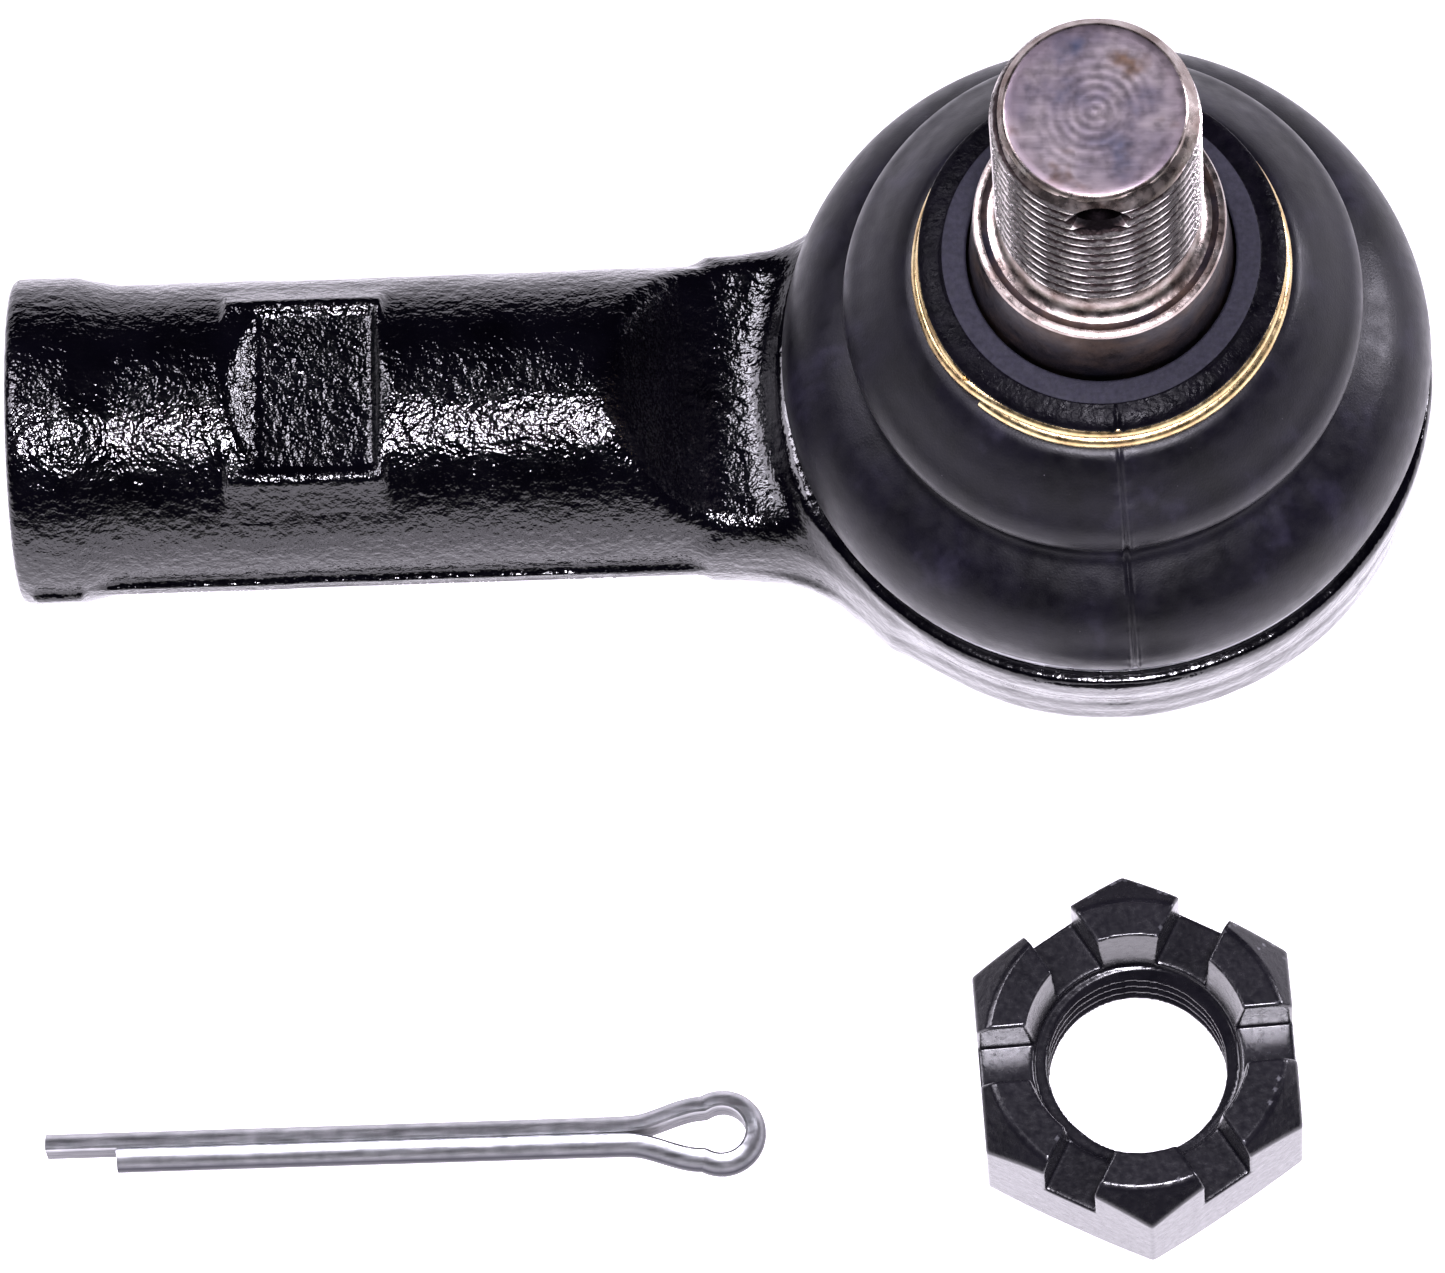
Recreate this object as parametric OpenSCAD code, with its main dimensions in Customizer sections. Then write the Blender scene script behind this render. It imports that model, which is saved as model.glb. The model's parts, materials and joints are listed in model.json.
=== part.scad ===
// Tie rod end: a forged ball housing with a female threaded shank, a tapered ball stud,
// a two-bellows dust boot, and the loose castle nut and cotter pin that lock the stud.
// The housing stands on its base, the stud points up (+Z) and the shank points to -X.
// The origin is on the base plane, straight under the centre of the ball.

/* [Housing] */
// Height of the shank axis and the ball centre above the base plane
axis_h = 15; // [15:0.1:15.5]
// Distance from the ball centre to the open end of the shank
shank_len = 76.5; // [72:0.5:90]
// Outside diameter of the shank
shank_d = 21.6; // [21:0.1:22.4]
// Outside diameter of the collar at the shank's open end
collar_d = 22.9; // [22.6:0.1:24]
// Depth of the threaded hole in the shank
shank_hole_depth = 42; // [30:1:46]
// Distance across the two wrench flats
flats_af = 18.4; // [17.6:0.1:19]
// Outside diameter of the socket cup at the forging's parting plane
cup_d = 44; // [43.6:0.1:44.6]
// Outside diameter of the shoulder under the dust boot
shoulder_d = 45.4; // [45:0.1:46]

/* [Ball stud] */
// Diameter of the ball
ball_d = 25; // [24.9:0.05:25]
// Diameter of the neck between the ball and the taper
neck_d = 14; // [12:0.5:14]
// Height of the stud's end above the ball centre
stud_len = 61.6; // [60:0.1:64]
// Major diameter of the stud's and the shank's M14 x 1.5 threads
thread_d = 14; // [14:14]
// Diameter of the taper where it meets the thread
taper_top_d = 17; // [16.6:0.1:17.2]
// Height of the taper's top above the ball centre
taper_top_h = 40.2; // [39.5:0.1:41]
// Diameter of the cotter pin hole
cotter_hole_d = 3.2; // [3:0.1:3.4]

/* [Dust boot] */
// Largest diameter of the lower bellows
lower_bellows_d = 45; // [44.6:0.1:45.2]
// Largest diameter of the upper bellows
upper_bellows_d = 35.6; // [35:0.1:36]
// Thickness of the rubber wall
boot_wall = 1.3; // [1:0.1:1.4]

/* [Nut and pin] */
// Width across the nut's flats
nut_af = 22; // [21.6:0.1:22.4]
// Height of the nut
nut_h = 12; // [11:0.5:13]
// Width of the six slots
slot_w = 3.8; // [3.4:0.1:4]
// Depth of the six slots
slot_depth = 5; // [4:0.5:5.5]
// Thickness of the closed pair of cotter pin legs
pin_d = 2.8; // [2.6:0.1:3]
// Length of the longer leg, from the eye to its tip
pin_len = 41; // [36:1:45]

/* [Hidden] */
$fn = 96;
eps = 0.01;

// M14 x 1.5 minor diameter, the wall radius of a tapped hole
tap_r = 6.19;
ball_r = ball_d / 2;
seat_r = ball_r + 0.05;
cavity_r = 15;
shank_r = shank_d / 2;
cup_r = cup_d / 2;
shoulder_r = shoulder_d / 2;
base_r = 17;
// Heights above the base plane
shoulder_z = axis_h + 7;
rim_z = axis_h + 10;
lip_z = axis_h + 5;
crimp_t = 0.8;
cover_t = 1.8;
cover_top = crimp_t + cover_t;
seal_top = cover_top + 1.7;
cover_r = 16.1;
// The boot sits in a groove round the housing's mouth
groove_r = 18.6;
flange_r = 19.4;
groove_top = rim_z - 1.2;
mouth_low_r = 12.1;
mouth_top_r = 14.9;
// The neck flares into the cup through arcs of this radius
flare_r = 18;
flare_y = shank_r + flare_r;
flare_x = -sqrt(pow(cup_r + flare_r, 2) - pow(flare_y, 2));
// Scoop between the shank and the cup, cut from above
scoop_top_x = -34.4;
scoop_low_x = -28.7;
web_z = axis_h + 5;
// Underside of the flared part of the neck
neck_base = 8;
// Parting ridge of the forging
ridge_h = 1.4;
ridge_out = 0.35;
flats_x1 = -58.8;
flats_x2 = -51;
// The nut and the pin lie on the base plane in front of the housing
nut_pos = [0.6, -45.5, 0];
nut_turn = 3;
pin_pos = [-35, -48.15, 0];
pin_turn = 0;
leg_r = pin_d / 2;
eye_r = 2.95;
eye_gap = 6.4;

// Outside of the socket cup
module cup_body() {
  rotate_extrude()
    polygon([
      [0, 0], [base_r, 0], [base_r + 1.4, 1.2], [18.9, 2.6], [cup_r, 13.2],
      [cup_r, axis_h + 1], [shoulder_r, shoulder_z - 2], [shoulder_r, shoulder_z - 0.6],
      [shoulder_r - 0.6, shoulder_z], [groove_r, shoulder_z], [groove_r, groove_top],
      [flange_r, groove_top], [flange_r, rim_z - 0.4], [flange_r - 0.4, rim_z], [0, rim_z]
    ]);
}

// Cylinder of the shank with the collar at its open end
module shank_body() {
  translate([0, 0, axis_h])
    rotate([0, -90, 0])
      rotate_extrude()
        polygon([
          [0, 10], [shank_r, 10], [shank_r, shank_len - 7], [collar_d / 2, shank_len - 3.6],
          [collar_d / 2, shank_len - 0.6], [collar_d / 2 - 0.6, shank_len], [0, shank_len]
        ]);
}

// Wedge that is scooped out of the shank's top, down to the web
module scoop() {
  translate([0, 30, 0])
    rotate([90, 0, 0])
      linear_extrude(60)
        polygon([
          [scoop_top_x - 1, axis_h + shank_r + 2], [scoop_top_x, axis_h + shank_r],
          [scoop_low_x, web_z], [-10, web_z], [-10, axis_h + shank_r + 2]
        ]);
}

// Plan of the neck, which flares into the cup through two arcs; g makes it wider
module flare_plan(g) {
  difference() {
    translate([flare_x, -16])
      square([-flare_x - 8, 32]);
    for (s = [-1, 1])
      translate([flare_x, s * flare_y])
        circle(r = flare_r - g);
  }
}

// The part of the neck that flares from the shank into the cup
module flared_neck() {
  translate([0, 0, neck_base])
    linear_extrude(web_z - neck_base)
      flare_plan(0);
}

// Ridge left where the two halves of the forging dies met
module parting_ridge() {
  translate([0, 0, axis_h - ridge_h / 2])
    linear_extrude(ridge_h) {
      circle(r = cup_r + ridge_out);
      translate([3 - shank_len, -(shank_r + ridge_out)])
        square([shank_len - 13, 2 * (shank_r + ridge_out)]);
      flare_plan(ridge_out);
    }
}

// Everything that is bored or turned out of the forging from below and above
module socket_space() {
  rotate_extrude()
    polygon([
      [0, -1], [14.6, -1], [14.6, crimp_t], [cover_r + 0.05, crimp_t],
      [cover_r + 0.05, seal_top], [cavity_r, seal_top], [cavity_r, axis_h], [0, axis_h]
    ]);
  intersection() {
    translate([0, 0, axis_h])
      sphere(r = cavity_r);
    translate([-20, -20, axis_h - 1])
      cube([40, 40, lip_z - axis_h + 1]);
  }
  translate([0, 0, lip_z - 1])
    cylinder(r = mouth_low_r, h = 2);
  translate([0, 0, lip_z + 0.6])
    cylinder(r1 = mouth_low_r, r2 = mouth_top_r, h = rim_z - lip_z - 0.6 + eps);
}

// Pair of parallel wrench flats with ramped ends
module wrench_flats() {
  for (s = [-1, 1])
    translate([0, 30, axis_h])
      rotate([90, 0, 0])
        linear_extrude(60)
          polygon([
            [flats_x1 - 3, s * (shank_r + 1)], [flats_x1, s * flats_af / 2],
            [flats_x2, s * flats_af / 2], [flats_x2 + 1.2, s * (shank_r + 1)]
          ]);
}

module housing() {
  color([0.06, 0.06, 0.07])
    difference() {
      union() {
        cup_body();
        difference() {
          union() {
            shank_body();
            parting_ridge();
          }
          scoop();
        }
        flared_neck();
      }
      socket_space();
      wrench_flats();
      translate([-shank_len, 0, axis_h])
        rotate([0, 90, 0])
          cylinder(r = tap_r, h = shank_hole_depth);
      translate([-shank_len - eps, 0, axis_h])
        rotate([0, 90, 0])
          cylinder(r1 = thread_d / 2 + 0.6, r2 = tap_r, h = 1.4);
    }
}

// Plastic seat that holds the ball under the mouth
module upper_bearing_seat() {
  color([0.85, 0.83, 0.75])
    difference() {
      intersection() {
        translate([0, 0, axis_h])
          sphere(r = cavity_r - 0.05);
        translate([-20, -20, axis_h + 0.3])
          cube([40, 40, lip_z - axis_h - 0.35]);
      }
      translate([0, 0, axis_h])
        sphere(r = seat_r);
    }
}

// Plastic seat that the spring pushes up against the ball
module lower_bearing_seat() {
  color([0.85, 0.83, 0.75])
    difference() {
      translate([0, 0, 4.7])
        cylinder(r = cavity_r - 0.05, h = axis_h - 5);
      translate([0, 0, axis_h])
        sphere(r = seat_r);
      translate([0, 0, 4])
        cylinder(r = 7.2, h = 3);
    }
}

// Coned disc spring between the cover and the lower seat
module preload_spring() {
  color([0.45, 0.45, 0.47])
    rotate_extrude()
      polygon([[14.5, cover_top + 0.02], [14.5, 3.5], [10.2, 4.68], [10.2, 3.8]]);
}

// Rubber ring that the cover squeezes against the housing
module cover_seal() {
  color([0.1, 0.1, 0.1])
    translate([0, 0, cover_top])
      difference() {
        cylinder(r = cover_r, h = seal_top - cover_top);
        translate([0, 0, -1])
          cylinder(r = 14.9, h = 4);
      }
}

// Pressed plate that closes the socket from below, dished to clear the ball
module end_cover() {
  color([0.35, 0.35, 0.37])
    rotate_extrude()
      polygon([
        [0, 0], [9, 0], [9.8, crimp_t], [cover_r, crimp_t], [cover_r, cover_top],
        [9.2, cover_top], [8.2, cover_t], [0, cover_t]
      ]);
}

// Ball, neck, taper, thread relief, thread and chamfered end, drilled for the cotter pin
module ball_stud() {
  neck_r = neck_d / 2;
  ball_flat = -9.5;
  neck_start = sqrt(pow(ball_r, 2) - pow(neck_r, 2)) - 0.6;
  color([0.62, 0.6, 0.58])
    difference() {
      translate([0, 0, axis_h])
        union() {
          intersection() {
            sphere(r = ball_r);
            translate([-20, -20, ball_flat])
              cube([40, 40, 40]);
          }
          rotate_extrude()
            polygon([
              [0, neck_start], [neck_r, neck_start], [neck_r, 21], [8.9, 23], [9.4, 25],
              [9.4, 25.8], [taper_top_d / 2, taper_top_h], [6.3, taper_top_h],
              [6.3, taper_top_h + 2.2], [thread_d / 2, taper_top_h + 3.2],
              [thread_d / 2, stud_len - 1.1], [thread_d / 2 - 1.1, stud_len], [0, stud_len]
            ]);
        }
      translate([0, 0, axis_h + stud_len - 2.9])
        rotate([90, 0, 0])
          cylinder(d = cotter_hole_d, h = 30, center = true);
    }
}

// Rubber boot: base bead, wide lower bellows, conical upper bellows and neck lip
module dust_boot() {
  lower_r = lower_bellows_d / 2;
  upper_r = upper_bellows_d / 2;
  w = boot_wall;
  c = axis_h;
  color([0.09, 0.09, 0.1])
    rotate_extrude()
      polygon([
        // outside, from the base bead up to the lip
        [groove_r + 0.3, c + 7.15], [20.6, c + 7.15], [20.9, c + 9], [lower_r - 0.6, c + 9.4],
        [lower_r, c + 10.8], [lower_r - 0.3, c + 13], [lower_r - 1.4, c + 15],
        [lower_r - 3, c + 16.6], [lower_r - 5, c + 17.6], [16.8, c + 18.4], [16.6, c + 19.2],
        [upper_r - 0.6, c + 21.4], [upper_r, c + 22.8], [upper_r - 0.3, c + 24.4],
        [upper_r - 2, c + 26.9], [14, c + 29.4], [13, c + 29.9], [11.9, c + 30],
        [11.9, c + 31.95], [12.35, c + 32.05], [12.3, c + 32.5], [10.8, c + 33], [9.15, c + 33.1],
        // inside, from the lip back down to the base bead
        [9.5, c + 26.6], [10.6, c + 28], [12.6, c + 28], [14.8, c + 26.2],
        [upper_r - w - 0.1, c + 23], [16.6 - w, c + 20.2], [15.2, c + 18.8], [15.6, c + 17.4],
        [lower_r - 5.4, c + 16.2], [lower_r - 3.2, c + 14.4], [lower_r - w - 0.5, c + 12.4],
        [lower_r - w - 0.3, c + 11], [20.3, c + 10.4], [flange_r + 0.15, c + 8.65],
        [groove_r + 0.3, c + 8.65]
      ]);
}

// Ring section swept round the stud axis
module wire_ring(r, z, wire_r) {
  translate([0, 0, z])
    rotate_extrude()
      translate([r, 0])
        circle(r = wire_r, $fn = 24);
}

// Two turns of plated wire that clamp the boot to the stud
module boot_neck_ring() {
  color([0.8, 0.66, 0.35])
    rotate_extrude()
      polygon([
        [11.95, axis_h + 30.1], [12.95, axis_h + 30.1], [12.95, axis_h + 31],
        [12.7, axis_h + 31.9], [11.95, axis_h + 31.9]
      ]);
}

// Wire ring that holds the boot's bead in the housing's groove
module boot_base_ring() {
  color([0.5, 0.5, 0.5])
    wire_ring(21.3, axis_h + 7.75, 0.55);
}

// Hexagon nut with six slots, each across the middle of a flat
module castle_nut() {
  corner_r = nut_af / sqrt(3);
  color([0.07, 0.07, 0.08])
    translate(nut_pos)
      rotate(nut_turn)
        difference() {
          intersection() {
            rotate(30)
              cylinder(r = corner_r, h = nut_h, $fn = 6);
            rotate_extrude()
              polygon([
                [0, 0], [corner_r - 1.4, 0], [corner_r + 0.2, 0.8], [corner_r + 0.2, nut_h - 2.2],
                [corner_r - 2.4, nut_h], [0, nut_h]
              ]);
          }
          translate([0, 0, -1])
            cylinder(r = tap_r, h = nut_h);
          translate([0, 0, -eps])
            cylinder(r1 = tap_r + 1, r2 = tap_r, h = 1);
          translate([0, 0, nut_h - slot_depth - 0.6])
            cylinder(r = thread_d / 2 + 0.2, h = slot_depth + 1);
          for (a = [0, 60, 120])
            rotate(a)
              translate([-20, -slot_w / 2, nut_h - slot_depth])
                cube([40, slot_w, 10]);
        }
}

// Half-round wire bent back on itself, lying on its side
module cotter_pin() {
  color([0.75, 0.76, 0.78])
    translate(pin_pos)
      rotate(pin_turn)
        translate([0, 0, leg_r]) {
          // legs, cut from one round bar by the seam between them
          for (leg = [[1, pin_len], [-1, pin_len - 5]])
            intersection() {
              translate([2, 0, 0])
                rotate([0, -90, 0])
                  cylinder(r = leg_r, h = leg[1] + 2);
              translate([-60, leg[0] > 0 ? 0.02 : -3.02, -3])
                cube([62, 3, 6]);
            }
          // eye
          difference() {
            union() {
              translate([eye_gap, 0, -0.7])
                cylinder(r = eye_r, h = 1.4);
              translate([0, 0, -0.7])
                linear_extrude(1.4)
                  polygon([[0, -leg_r], [eye_gap - 1.4, -eye_r + 0.35], [eye_gap - 1.4, eye_r - 0.35], [0, leg_r]]);
            }
            translate([eye_gap, 0, -2])
              cylinder(r = eye_r - 1.35, h = 4);
            translate([0, 0, -2])
              linear_extrude(4)
                polygon([[1.9, 0], [eye_gap, -eye_r + 1.45], [eye_gap, eye_r - 1.45]]);
          }
        }
}

housing();
upper_bearing_seat();
lower_bearing_seat();
preload_spring();
cover_seal();
end_cover();
boot_base_ring();
dust_boot();
boot_neck_ring();
ball_stud();
castle_nut();
cotter_pin();
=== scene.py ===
"""Tie rod end with its castle nut and cotter pin on a pale floor."""
import json
import math

import bmesh
import bpy
import numpy as np
from mathutils import Matrix, Vector


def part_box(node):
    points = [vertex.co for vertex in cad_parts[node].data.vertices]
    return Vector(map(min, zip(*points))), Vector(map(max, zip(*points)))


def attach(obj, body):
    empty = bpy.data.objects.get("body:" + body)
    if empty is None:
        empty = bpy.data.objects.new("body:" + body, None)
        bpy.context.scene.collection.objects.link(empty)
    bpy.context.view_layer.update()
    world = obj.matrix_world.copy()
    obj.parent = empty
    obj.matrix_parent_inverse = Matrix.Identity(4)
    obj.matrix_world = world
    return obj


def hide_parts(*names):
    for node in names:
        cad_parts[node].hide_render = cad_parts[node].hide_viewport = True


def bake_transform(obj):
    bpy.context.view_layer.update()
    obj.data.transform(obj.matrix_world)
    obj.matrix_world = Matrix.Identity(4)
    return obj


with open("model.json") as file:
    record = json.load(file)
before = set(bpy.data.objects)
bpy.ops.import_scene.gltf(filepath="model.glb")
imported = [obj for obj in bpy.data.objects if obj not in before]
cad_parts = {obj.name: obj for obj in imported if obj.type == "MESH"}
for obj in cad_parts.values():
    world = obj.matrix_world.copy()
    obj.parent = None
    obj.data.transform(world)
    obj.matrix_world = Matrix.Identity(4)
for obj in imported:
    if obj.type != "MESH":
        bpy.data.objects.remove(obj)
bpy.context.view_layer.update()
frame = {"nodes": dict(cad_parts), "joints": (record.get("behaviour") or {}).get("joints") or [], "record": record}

MM = 0.001

# ---------------------------------------------------------------- places in millimetres, from the frame


def cad_box(node):
    """Lowest and highest corner of a CAD node, in millimetres."""
    low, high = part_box(node)
    return [c / MM for c in low], [c / MM for c in high]


def mount(name):
    """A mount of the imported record."""
    return next(m for m in frame["record"]["mounts"] if m["name"] == name)


BALL_Z = frame["joints"][0]["pos_m"][2] / MM
SHANK_END = cad_box("housing")[0][0]
STUD_TOP = cad_box("ball_stud")[1][2]
SHOULDER_R = cad_box("housing")[1][1]
RIM_Z = BALL_Z + 10
WEB_Z = BALL_Z + 5
THREAD_PITCH = 1.5
THREAD_R = mount("stud_thread")["dims"]["r_mm"]
TAP_R = mount("shank_thread")["dims"]["r_mm"]


# ---------------------------------------------------------------- solids from distance functions


class Lattice:
    """A box of sample points, spacing h, on which distances are worked out."""

    def __init__(self, low, high, h):
        counts = [int(math.ceil((b - a) / h)) + 1 for a, b in zip(low, high)]
        self.low, self.h, self.counts = np.array(low, np.float32), h, counts
        axes = [
            np.float32(a) + np.arange(n, dtype=np.float32) * np.float32(h) for a, n in zip(low, counts)
        ]
        self.x = axes[0][:, None, None]
        self.y = axes[1][None, :, None]
        self.z = axes[2][None, None, :]


def outline_distance(px, py, points):
    """Signed distance, negative inside, from (px, py) to a closed outline."""
    points = np.array(points, np.float32)
    best = np.full(np.broadcast(px, py).shape, 1e9, np.float32)
    inside = np.zeros(best.shape, bool)
    for a, b in zip(points, np.roll(points, -1, axis=0)):
        ex, ey = b - a
        wx, wy = px - a[0], py - a[1]
        t = np.clip((wx * ex + wy * ey) / (ex * ex + ey * ey), 0, 1)
        best = np.minimum(best, (wx - t * ex) ** 2 + (wy - t * ey) ** 2)
        if ey != 0:
            crosses = ((py >= a[1]) != (py >= b[1])) & (px < a[0] + (py - a[1]) * (ex / ey))
            inside ^= crosses
    distance = np.sqrt(best)
    return np.where(inside, -distance, distance)


def smooth_union(a, b, k):
    """Joins two distances with a fillet about k wide."""
    t = np.clip(0.5 + 0.5 * (b - a) / k, 0, 1)
    return b + (a - b) * t - k * t * (1 - t)


def smooth_cut(a, b, k):
    """Takes solid b out of solid a and rounds the edge by about k."""
    return -smooth_union(-a, b, k)


def mesh_from_distance(grid, distance):
    """Vertices and quads of the zero surface (surface nets), pulled onto the surface."""
    inside = distance < 0
    nx, ny, nz = inside.shape
    total = np.zeros((nx - 1, ny - 1, nz - 1, 3), np.float32)
    hits = np.zeros((nx - 1, ny - 1, nz - 1), np.float32)
    quads = []
    for axis in range(3):
        lower = [slice(None)] * 3
        upper = [slice(None)] * 3
        lower[axis], upper[axis] = slice(0, -1), slice(1, None)
        a, b = distance[tuple(lower)], distance[tuple(upper)]
        change = inside[tuple(lower)] != inside[tuple(upper)]
        index = np.argwhere(change)
        step = (a[change] / (a[change] - b[change])).astype(np.float32)
        point = index.astype(np.float32)
        point[:, axis] += step
        others = [k for k in range(3) if k != axis]
        starts_inside = inside[tuple(lower)][change]
        corners = []
        for shift in ((0, 0), (1, 0), (1, 1), (0, 1)):
            cell = index.copy()
            cell[:, others[0]] -= shift[0]
            cell[:, others[1]] -= shift[1]
            keep = np.all((cell >= 0) & (cell < np.array([nx - 1, ny - 1, nz - 1])), axis=1)
            np.add.at(total, tuple(cell[keep].T), point[keep])
            np.add.at(hits, tuple(cell[keep].T), 1)
            corners.append((cell, keep))
        whole = np.all([keep for _, keep in corners], axis=0)
        cells = np.stack([c[whole] for c, _ in corners], axis=1)
        flip = starts_inside[whole] == (axis == 1)
        cells[flip] = cells[flip][:, ::-1]
        quads.append(cells)
    used = hits > 0
    number = np.full(hits.shape, -1, np.int64)
    number[used] = np.arange(int(used.sum()))
    vertices = total[used] / hits[used][:, None]
    quads = np.concatenate(quads)
    faces = number[quads[..., 0], quads[..., 1], quads[..., 2]]
    for _ in range(2):
        vertices = pull_to_surface(vertices, distance)
    return vertices * grid.h + grid.low, faces


def cell_corners(f):
    """The eight corners of a cell, each with its share of the value at place f in the cell."""
    for dx in (0, 1):
        for dy in (0, 1):
            for dz in (0, 1):
                weight = (f[:, 0] if dx else 1 - f[:, 0]) * (f[:, 1] if dy else 1 - f[:, 1])
                weight = weight * (f[:, 2] if dz else 1 - f[:, 2])
                yield np.array((dx, dy, dz)), weight


def sample(values, points):
    """Values on the lattice, read between its points."""
    top = np.array(values.shape) - 2
    base = np.clip(np.floor(points).astype(np.int64), 0, top)
    result = 0
    for corner, weight in cell_corners(points - base):
        result = result + weight * values[tuple((base + corner).T)]
    return result


def pull_to_surface(points, values):
    """One step of each point, in lattice units, towards the zero surface."""
    slope = np.stack(
        [sample(values, points + d) - sample(values, points - d) for d in np.eye(3) * 0.5], axis=1
    )
    size = np.maximum((slope**2).sum(1), 1e-6)
    move = -sample(values, points)[:, None] * slope / size[:, None]
    length = np.linalg.norm(move, axis=1, keepdims=True)
    return points + move * np.minimum(1, 0.5 / np.maximum(length, 1e-9))


def value_noise(points, cell, seed):
    """Smooth noise from -1 to 1 with bumps about one cell wide."""
    table = np.random.default_rng(seed).uniform(-1, 1, (32, 32, 32))
    p = points / cell
    base = np.floor(p).astype(np.int64)
    f = p - base
    f = f * f * (3 - 2 * f)
    result = 0
    for corner, weight in cell_corners(f):
        result = result + weight * table[tuple(((base + corner) % 32).T)]
    return result


# ---------------------------------------------------------------- meshes


def make_piece(name, vertices, faces, material):
    """A mesh object from vertices in millimetres."""
    mesh = bpy.data.meshes.new(name)
    mesh.from_pydata((np.asarray(vertices) * MM).tolist(), [], [list(map(int, f)) for f in faces])
    mesh.update()
    piece = bpy.data.objects.new(name, mesh)
    bpy.context.scene.collection.objects.link(piece)
    mesh.materials.append(material)
    mesh.polygons.foreach_set("use_smooth", [True] * len(mesh.polygons))
    return piece


def vertex_normals(piece):
    """Unit normals of a piece's vertices."""
    normals = np.zeros(len(piece.data.vertices) * 3, np.float32)
    piece.data.vertices.foreach_get("normal", normals)
    return normals.reshape(-1, 3)


def revolve(name, rings, angles, radius_at, material):
    """A closed lathe solid. rings are (r, z) round a closed section; radius_at shapes r."""
    rings = np.array(rings, float)
    r, z = rings[:, 0][:, None], rings[:, 1][:, None]
    a = np.array(angles)[None, :]
    rr = radius_at(r, z, a)
    vertices = np.stack([rr * np.cos(a), rr * np.sin(a), z + 0 * a], axis=-1).reshape(-1, 3)
    m, n = len(rings), len(angles)
    i, j = np.meshgrid(np.arange(m), np.arange(n), indexing="ij")
    i2, j2 = (i + 1) % m, (j + 1) % n
    faces = np.stack([i * n + j, i * n + j2, i2 * n + j2, i2 * n + j], axis=-1).reshape(-1, 4)
    return make_piece(name, vertices, faces, material)


def tube_faces(m, n):
    """Side faces of a tube of m rings with n points each."""
    return [
        (i * n + j, i * n + (j + 1) % n, (i + 1) * n + (j + 1) % n, (i + 1) * n + j)
        for i in range(m - 1) for j in range(n)
    ]


def pointed_tube_faces(m, n):
    """Faces of the same tube, closed by a fan to one further point at each end."""
    first_fan = [(m * n, (j + 1) % n, j) for j in range(n)]
    last_fan = [(m * n + 1, (m - 1) * n + j, (m - 1) * n + (j + 1) % n) for j in range(n)]
    return tube_faces(m, n) + first_fan + last_fan


def even_angles(count):
    """Directions spaced evenly round a circle."""
    return np.arange(count) * (2 * math.pi / count)


def round_corners(points, radius, steps=4):
    """A closed section with each corner replaced by a small arc, drawn as a curve."""
    points = np.array(points, float)
    out = []
    for p, a, b in zip(points, np.roll(points, 1, axis=0), np.roll(points, -1, axis=0)):
        reach = min(radius, np.linalg.norm(a - p) * 0.45, np.linalg.norm(b - p) * 0.45)
        start = p + (a - p) / np.linalg.norm(a - p) * reach
        end = p + (b - p) / np.linalg.norm(b - p) * reach
        for t in np.linspace(0, 1, steps):
            out.append((1 - t) ** 2 * start + 2 * t * (1 - t) * p + t * t * end)
    return np.array(out)


def subdivide(points, longest):
    """The closed section with no side longer than longest."""
    out = []
    for a, b in zip(points, np.roll(points, -1, axis=0)):
        count = max(1, int(math.ceil(np.linalg.norm(b - a) / longest)))
        out.extend(a + (b - a) * k / count for k in range(count))
    return np.array(out)


def boolean_cut(piece, cutter):
    """Takes cutter out of piece and deletes cutter."""
    modifier = piece.modifiers.new("cut", "BOOLEAN")
    modifier.operation = "DIFFERENCE"
    modifier.solver = "EXACT"
    modifier.object = cutter
    depsgraph = bpy.context.evaluated_depsgraph_get()
    mesh = bpy.data.meshes.new_from_object(piece.evaluated_get(depsgraph))
    piece.modifiers.clear()
    piece.data = mesh
    bpy.data.objects.remove(cutter)


# ---------------------------------------------------------------- materials


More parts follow.
